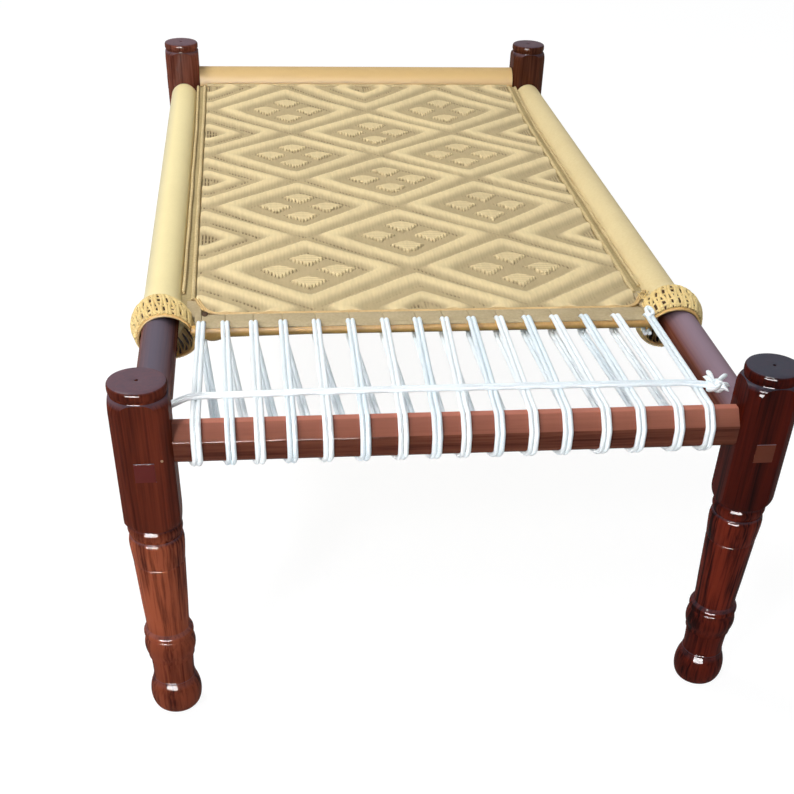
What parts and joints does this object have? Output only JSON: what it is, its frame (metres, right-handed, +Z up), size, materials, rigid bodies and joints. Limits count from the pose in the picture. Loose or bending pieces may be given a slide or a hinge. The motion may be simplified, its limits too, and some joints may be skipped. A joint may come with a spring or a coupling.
{
  "type": "charpai rope bed",
  "caption": "Single rope bed: four turned hardwood legs, round side rails, a diamond-patterned woven cord bed and white rope lacing to its foot rail.",
  "frame": {"origin": "on the floor, under the middle of the bed", "axes": "+Y along the bed from its foot end, where the lacing is, to its head end; +Z up; +X to the right as seen from the foot end"},
  "size_m": [0.9322, 1.793, 0.545],
  "materials": {
    "leg_wood": "gloss dark red-brown lacquer",
    "rail_wood": "gloss red-brown lacquer",
    "pin_wood": "bare pale wood",
    "woven_cord": "woven cord, matt",
    "wrap_cord": "close-wound cord, satin",
    "gold_cord": "golden cord, matt",
    "white_cord": "white cord, matt"
  },
  "bodies": {
    "root": {"front_left_tenon_pin": "pin_wood", "front_left_leg": "leg_wood", "front_right_leg": "leg_wood", "rear_left_leg": "leg_wood", "rear_right_leg": "leg_wood", "left_side_rail": "rail_wood", "right_side_rail": "rail_wood", "foot_rail": "rail_wood", "head_rail": "rail_wood", "left_rail_wrap": "wrap_cord", "right_rail_wrap": "wrap_cord", "head_rail_wrap": "wrap_cord", "left_corner_collar": "gold_cord", "right_corner_collar": "gold_cord", "woven_panel": "woven_cord", "foot_edge_band": "gold_cord", "foot_edge_roll": "gold_cord", "left_border_cord": "wrap_cord", "left_thin_border_cord": "wrap_cord", "right_border_cord": "wrap_cord", "right_thin_border_cord": "wrap_cord", "head_border_cord": "wrap_cord", "foot_border_cord": "gold_cord", "lacing_cord_1": "white_cord", "lacing_cord_2": "white_cord", "end_knot": "white_cord"}
  },
  "joints": []
}
